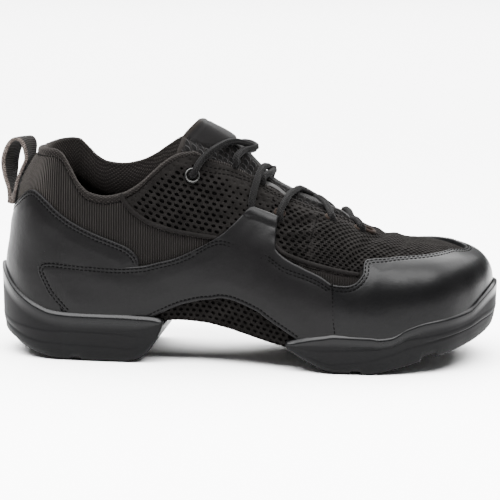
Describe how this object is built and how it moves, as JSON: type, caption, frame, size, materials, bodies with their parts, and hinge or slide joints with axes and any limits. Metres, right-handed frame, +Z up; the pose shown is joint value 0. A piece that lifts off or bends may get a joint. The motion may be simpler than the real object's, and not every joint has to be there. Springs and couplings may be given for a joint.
{
  "type": "dance sneaker",
  "caption": "Low dance sneaker with a split sole, leather panels, mesh quarter and vamp, laced throat and pull loop.",
  "frame": {"origin": "centre of the part's box in plan, on the floor under the soles", "axes": "+X to the toe, -Y to the outer side of the foot, +Z up"},
  "size_m": [0.2574, 0.098, 0.124],
  "materials": {
    "upper_mesh": "matte mesh and ribbed cloth",
    "leather": "glossy black",
    "rubber": "satin black",
    "tongue_mesh": "padded black mesh",
    "insole_cloth": "matte black cloth",
    "eyelet_metal": "bright metal",
    "lace_cord": "round braided cord",
    "webbing": "woven tape"
  },
  "bodies": {
    "root": {"upper": "upper_mesh", "toe_cap": "leather", "heel_counter": "leather", "side_band_outer": "leather", "side_band_inner": "leather", "heel_sole": "rubber", "forefoot_sole": "rubber", "tongue": "tongue_mesh", "insole": "insole_cloth", "eyelet_outer": "eyelet_metal", "eyelet_inner": "eyelet_metal", "lace_foot": "lace_cord", "lace_low": "lace_cord", "lace_middle": "lace_cord", "lace_top": "lace_cord", "pull_loop": "webbing"}
  },
  "joints": []
}
